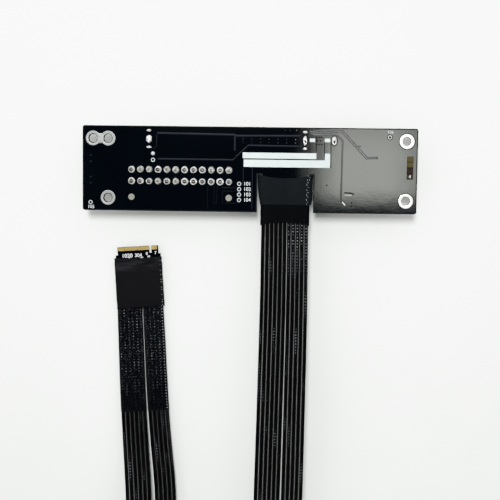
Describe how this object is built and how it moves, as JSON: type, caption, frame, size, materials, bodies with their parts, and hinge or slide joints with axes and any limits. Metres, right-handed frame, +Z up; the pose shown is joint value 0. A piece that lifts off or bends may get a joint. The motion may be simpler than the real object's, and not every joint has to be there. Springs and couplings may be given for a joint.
{
  "type": "external graphics card dock",
  "caption": "Bare circuit board dock with a long card slot, a right-angle power header and a flat ribbon cable that ends in a small gold-fingered edge plug.",
  "frame": {"origin": "under the middle of the board, on the surface that the card slot's mouth and the power header's latch ramp rest on", "axes": "+X along the board, away from the figure-of-eight eyelet; +Y away from the cable; +Z up, out of the solder side"},
  "size_m": [0.158, 0.2807, 0.0245],
  "materials": {
    "solder_mask": "glossy black solder mask on glass-epoxy board",
    "tinned_copper": "hot-tinned copper, slightly uneven",
    "tinned_steel": "tinned sheet",
    "tinned_brass": "tinned pin",
    "solder": "hand-soldered, bright with flux marks",
    "slot_plastic": "black glass-filled moulding",
    "contact_gold": "gold flash",
    "natural_nylon": "natural ivory nylon moulding",
    "can_aluminium": "drawn can",
    "tan_ceramic": "fired ceramic chip with tinned ends",
    "chip_black": "moulded epoxy with tinned ends",
    "led_lens": "pale lens on a white base",
    "shrink_sleeve": "shrunk polyolefin sleeve, satin with fine wrinkles",
    "ribbon_jacket": "spiral-wrapped black film over twin-core strips"
  },
  "bodies": {
    "root": {"dock_board": "solder_mask", "mounting_eyelets": "tinned_copper", "power_bars": "tinned_copper", "test_eyelets": "tinned_copper", "slot_housing": "slot_plastic", "slot_contacts": "contact_gold", "slot_hold_downs": "tinned_steel", "slot_board_locks": "tinned_steel", "anchor_solder": "solder", "power_header_housing": "natural_nylon", "power_header_pins": "tinned_brass", "power_header_solder": "solder", "bulk_capacitor_bases": "slot_plastic", "bulk_capacitor_cans": "can_aluminium", "ceramic_capacitors": "tan_ceramic", "chip_resistors": "chip_black", "power_led": "led_lens", "load_switch": "chip_black", "dock_wire_tails": "tinned_copper", "dock_sleeve": "shrink_sleeve", "ribbon_collar": "shrink_sleeve", "ribbon_six": "ribbon_jacket", "ribbon_five": "ribbon_jacket", "plug_board": "solder_mask", "plug_contacts": "contact_gold", "plug_wire_tails": "tinned_copper", "plug_sleeve": "shrink_sleeve"}
  },
  "joints": []
}
